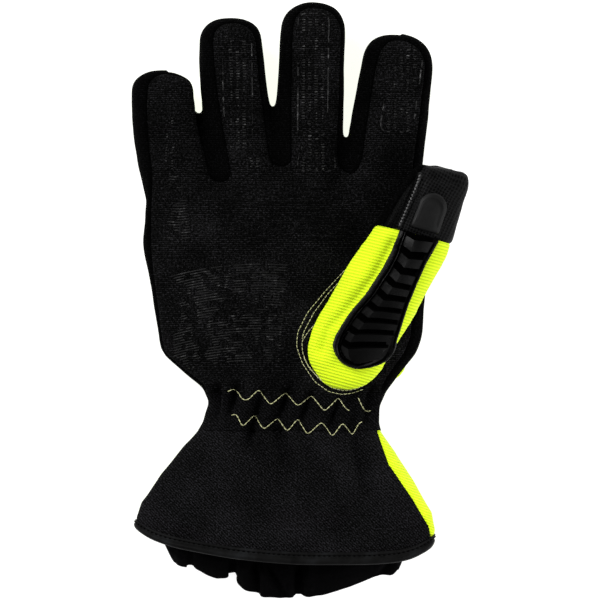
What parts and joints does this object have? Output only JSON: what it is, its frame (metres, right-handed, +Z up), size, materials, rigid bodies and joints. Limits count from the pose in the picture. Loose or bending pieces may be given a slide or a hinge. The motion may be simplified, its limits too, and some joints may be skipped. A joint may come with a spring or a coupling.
{
  "type": "extrication glove",
  "caption": "Right-hand rescue glove lying palm up: padded thumb with a ribbed impact guard, gathered elastic wrist, flared gauntlet cuff with a bound hem and loose liner.",
  "frame": {"origin": "under the middle of the glove's bounding box, on the surface that the glove lies on", "axes": "+Z is up and out of the palm, +Y runs to the fingertips, +X to the thumb's side"},
  "size_m": [0.1624, 0.2904, 0.0569],
  "materials": {
    "palm_knit": "matte",
    "side_fabric": "matte",
    "hi_vis_fabric": "matte",
    "ribbed_hi_vis_fabric": "matte",
    "perforated_leather": "satin",
    "guard_rubber": "satin",
    "cuff_twill": "matte",
    "binding_tape": "satin",
    "liner_fabric": "matte",
    "grip_silicone": "satin",
    "stitch_thread": "matte"
  },
  "bodies": {
    "root": {"palm_panel": "palm_knit", "back_panel": "hi_vis_fabric", "outer_side_wall": "side_fabric", "fourchette_little_ring": "side_fabric", "fourchette_ring_middle": "side_fabric", "fourchette_middle_index": "side_fabric", "inner_side_wall": "side_fabric", "thumb_back_panel": "ribbed_hi_vis_fabric", "thumb_front_panel": "side_fabric", "thumb_cap": "perforated_leather", "thumb_nail_pad": "guard_rubber", "thumb_guard": "guard_rubber", "wrist_band": "palm_knit", "cuff_front_panel": "cuff_twill", "cuff_back_panel": "hi_vis_fabric", "hem_binding": "binding_tape", "cuff_liner": "liner_fabric"}
  },
  "joints": []
}
